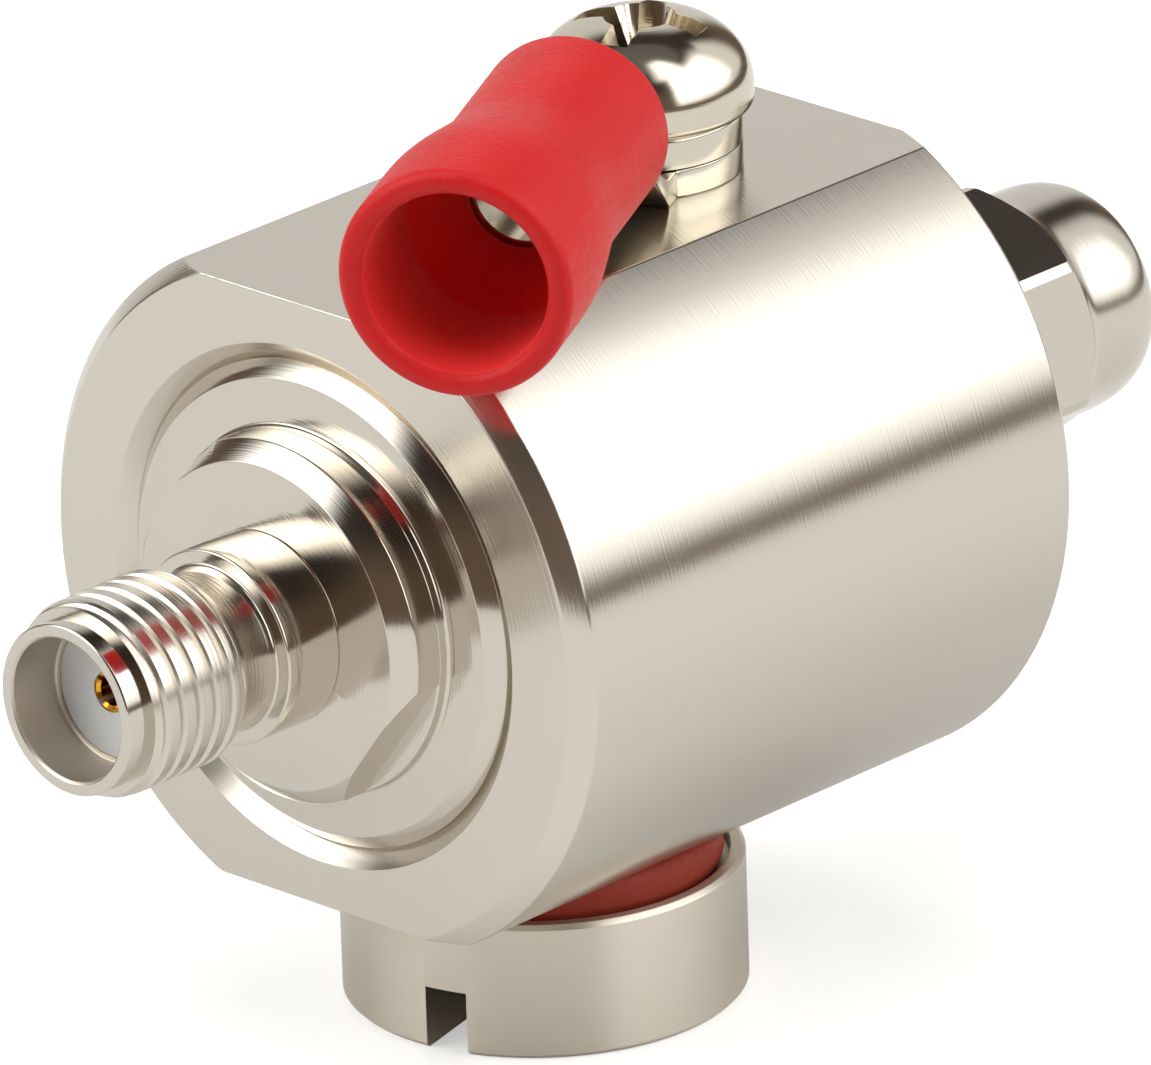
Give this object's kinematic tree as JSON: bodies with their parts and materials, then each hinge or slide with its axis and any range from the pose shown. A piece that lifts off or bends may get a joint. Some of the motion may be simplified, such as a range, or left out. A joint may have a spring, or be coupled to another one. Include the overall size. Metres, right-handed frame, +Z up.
{
  "type": "coaxial lightning arrestor",
  "caption": "Inline coaxial lightning arrestor: threaded socket, hex coupling nut, gas tube behind a slotted cap and an earthing screw with an insulated ring terminal.",
  "frame": {"origin": "centre of the flat bottom of the socket's mouth, the reference plane where a plug seats, on the coax axis", "axes": "+X along the coax axis from the socket to the plug, +Z up from the cap to the earthing screw, +Y level across the body, away from the side that the ring terminal points to"},
  "size_m": [0.046, 0.0239, 0.0332],
  "materials": {
    "nickel_plate": "satin nickel plate on turned brass",
    "bright_nickel": "bright nickel plate on turned brass",
    "white_fluoroplastic": "machined white fluoroplastic",
    "gold_plate": "thin gold plate on beryllium copper",
    "bare_brass": "turned brass",
    "spring_bronze": "hard bronze wire and strip",
    "red_silicone": "dull silicone rubber",
    "white_ceramic": "unglazed alumina",
    "electrode_metal": "tinned electrode",
    "plated_steel": "nickel plate on steel",
    "tinned_copper": "bright tin plate on copper sheet",
    "red_vinyl": "soft red vinyl with a low sheen"
  },
  "bodies": {
    "arrestor": {"housing": "nickel_plate", "front_insert": "bright_nickel", "front_insulator": "white_fluoroplastic", "socket_contact": "gold_plate", "centre_rod": "bare_brass", "rear_insulator": "white_fluoroplastic", "pin_contact": "gold_plate", "plug_body": "bright_nickel", "snap_ring": "spring_bronze", "nut_gasket": "red_silicone"},
    "nut": {"coupling_nut": "bright_nickel"},
    "tube_carriage": {"gas_tube_ceramic": "white_ceramic", "gas_tube_top_electrode": "electrode_metal", "gas_tube_bottom_electrode": "electrode_metal", "tube_spring": "spring_bronze", "cap_gasket": "red_silicone"},
    "cap": {"tube_cap": "nickel_plate"},
    "washer": {"lock_washer": "plated_steel"},
    "screw": {"ground_screw": "plated_steel"},
    "terminal": {"ring_terminal": "tinned_copper", "terminal_sleeve": "red_vinyl"}
  },
  "joints": [
    {"name": "nut_spin", "type": "hinge", "parent": "arrestor", "child": "nut", "pos_m": [0.038, 0, 0], "axis": [1, 0, 0], "continuous": true},
    {"name": "cap_travel", "type": "slide", "parent": "arrestor", "child": "tube_carriage", "axis": [0, 0, -1], "range_m": [0, 0.003]},
    {"name": "cap_turn", "type": "hinge", "parent": "tube_carriage", "child": "cap", "pos_m": [0.0187, 0, -0.0157], "axis": [0, 0, -1], "range_deg": [0, 1440]},
    {"name": "screw_travel", "type": "slide", "parent": "arrestor", "child": "washer", "axis": [0, 0, 1], "range_m": [0, 0.0056]},
    {"name": "screw_turn", "type": "hinge", "parent": "washer", "child": "screw", "pos_m": [0.0243, 0, 0.01], "axis": [0, 0, 1], "range_deg": [0, 2880]},
    {"name": "terminal_swing", "type": "hinge", "parent": "arrestor", "child": "terminal", "pos_m": [0.0243, 0, 0.01], "axis": [0, 0, 1], "continuous": true}
  ],
  "couplings": [
    {"joint": "cap_turn", "follows": "cap_travel", "rad_per_m": 8377.6},
    {"joint": "screw_turn", "follows": "screw_travel", "rad_per_m": 8976}
  ]
}
